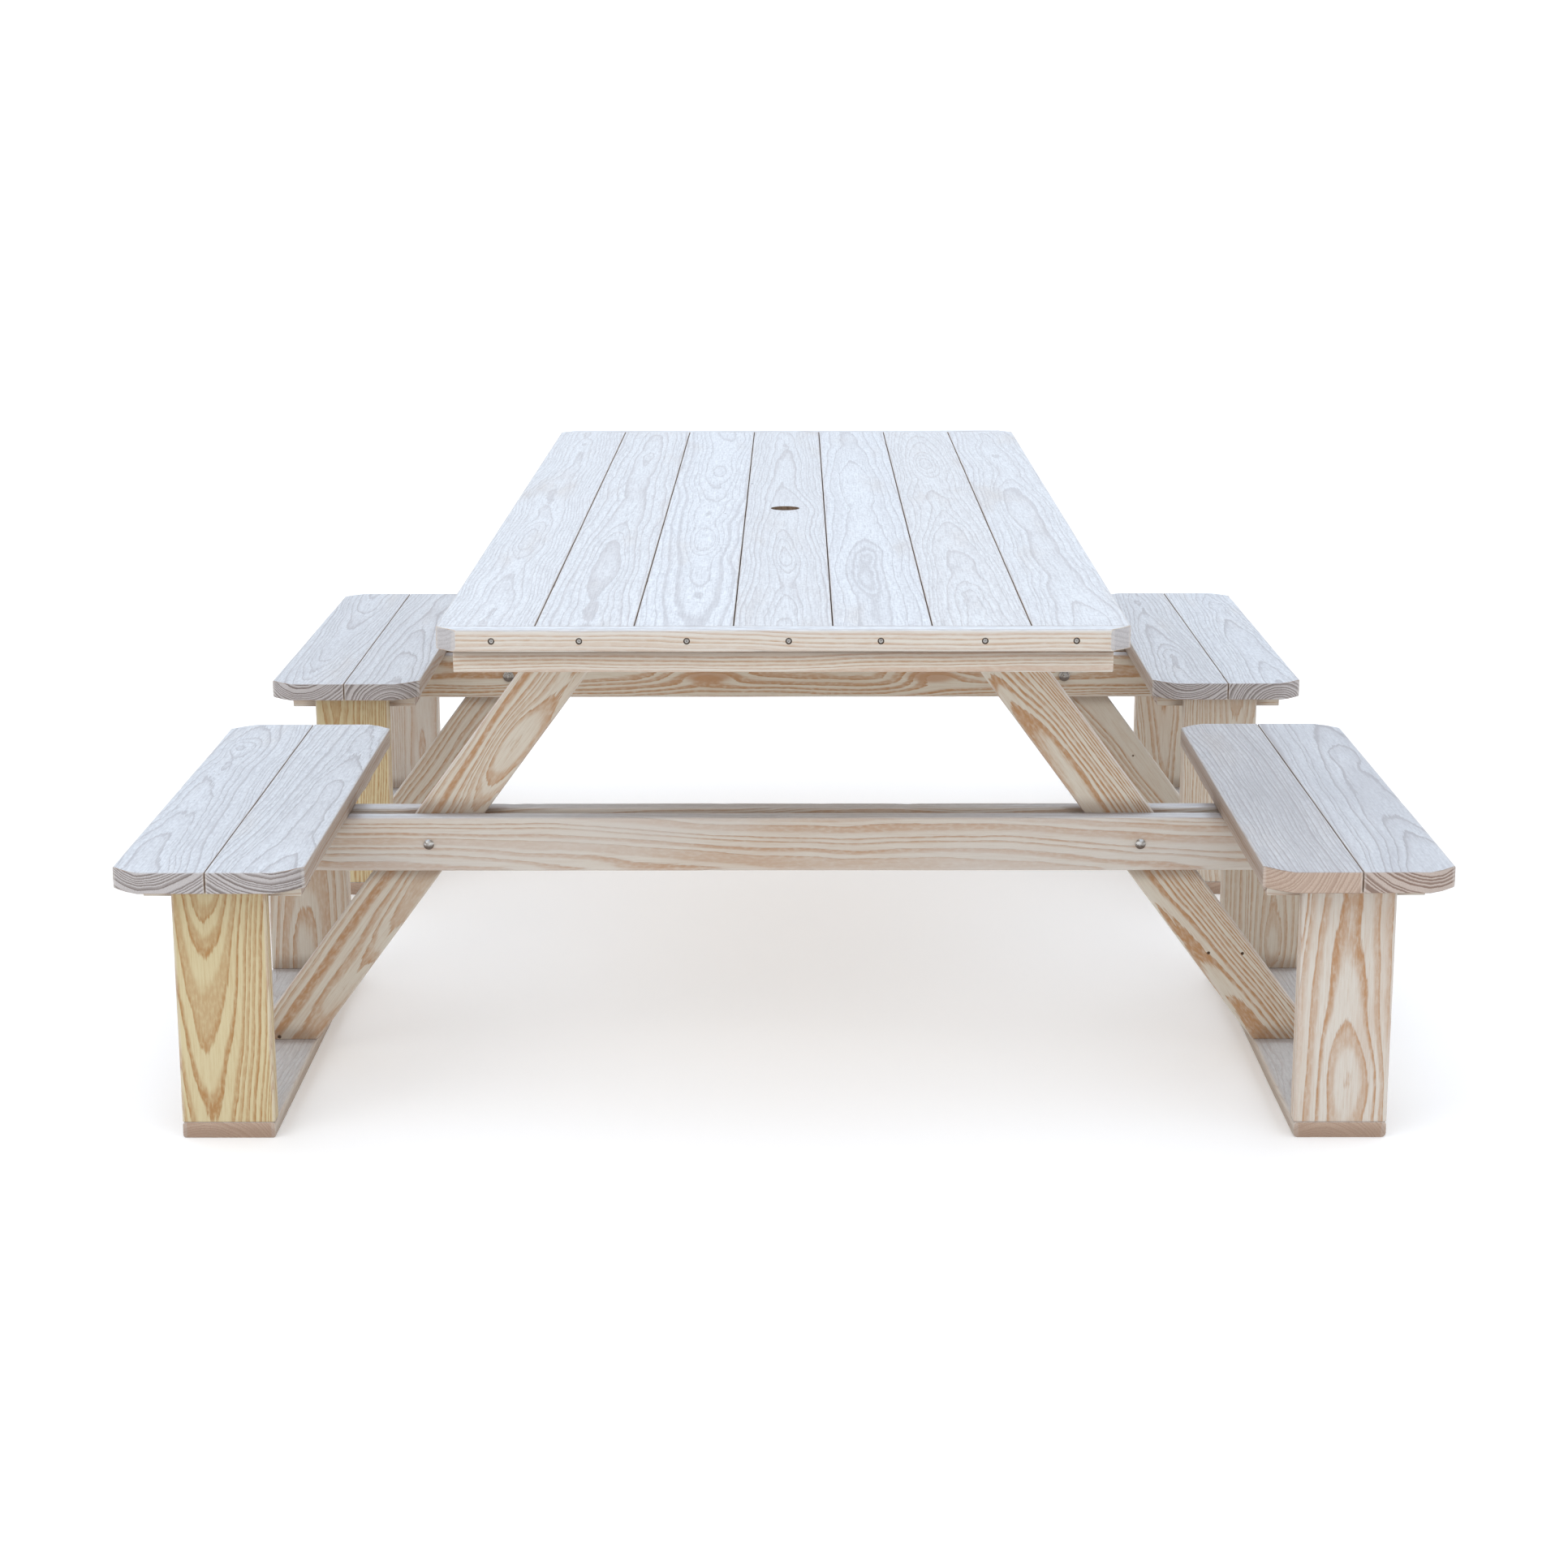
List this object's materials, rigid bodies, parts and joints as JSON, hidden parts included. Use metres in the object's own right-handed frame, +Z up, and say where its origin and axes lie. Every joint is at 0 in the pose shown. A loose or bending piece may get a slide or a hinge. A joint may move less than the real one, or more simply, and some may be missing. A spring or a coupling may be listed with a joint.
{
  "type": "picnic table",
  "caption": "Long plank-topped picnic table on two A-frames, with backless benches tied in by crossbeams and an umbrella hole in the middle.",
  "frame": {"origin": "on the ground, under the middle of the table top and its umbrella hole", "axes": "+X to the right across the planks, +Y to the back along the planks, +Z up"},
  "size_m": [1.957, 2.4, 0.8],
  "materials": {
    "pine": "planed pine, unsealed, lightly weathered",
    "steel": "dull zinc plated"
  },
  "bodies": {
    "root": {"beam_bolts": "steel", "bench_back_left_cleat_back": "pine", "bench_back_left_cleat_front": "pine", "bench_back_left_leg_back": "pine", "bench_back_left_leg_front": "pine", "bench_back_left_runner": "pine", "bench_back_left_seat_inner": "pine", "bench_back_left_seat_outer": "pine", "bench_back_right_cleat_back": "pine", "bench_back_right_cleat_front": "pine", "bench_back_right_leg_back": "pine", "bench_back_right_leg_front": "pine", "bench_back_right_runner": "pine", "bench_back_right_seat_inner": "pine", "bench_back_right_seat_outer": "pine", "bench_front_left_cleat_back": "pine", "bench_front_left_cleat_front": "pine", "bench_front_left_leg_back": "pine", "bench_front_left_leg_front": "pine", "bench_front_left_runner": "pine", "bench_front_left_seat_inner": "pine", "bench_front_left_seat_outer": "pine", "bench_front_right_cleat_back": "pine", "bench_front_right_cleat_front": "pine", "bench_front_right_leg_back": "pine", "bench_front_right_leg_front": "pine", "bench_front_right_runner": "pine", "bench_front_right_seat_inner": "pine", "bench_front_right_seat_outer": "pine", "board_screws": "steel", "bolt_nuts": "steel", "bolt_washers": "steel", "cleat_bolts": "steel", "crossbeam_back_inner": "pine", "crossbeam_back_outer": "pine", "crossbeam_front_inner": "pine", "crossbeam_front_outer": "pine", "long_screws": "steel", "runner_screws": "steel", "sloping_leg_back_left": "pine", "sloping_leg_back_right": "pine", "sloping_leg_front_left": "pine", "sloping_leg_front_right": "pine", "top_cleat_back": "pine", "top_cleat_front": "pine", "top_plank_1": "pine", "top_plank_2": "pine", "top_plank_3": "pine", "top_plank_4": "pine", "top_plank_5": "pine", "top_plank_6": "pine", "top_plank_7": "pine", "top_rail_back": "pine", "top_rail_front": "pine", "top_trim_back": "pine", "top_trim_front": "pine", "trim_screws": "steel", "umbrella_batten": "pine"}
  },
  "joints": []
}
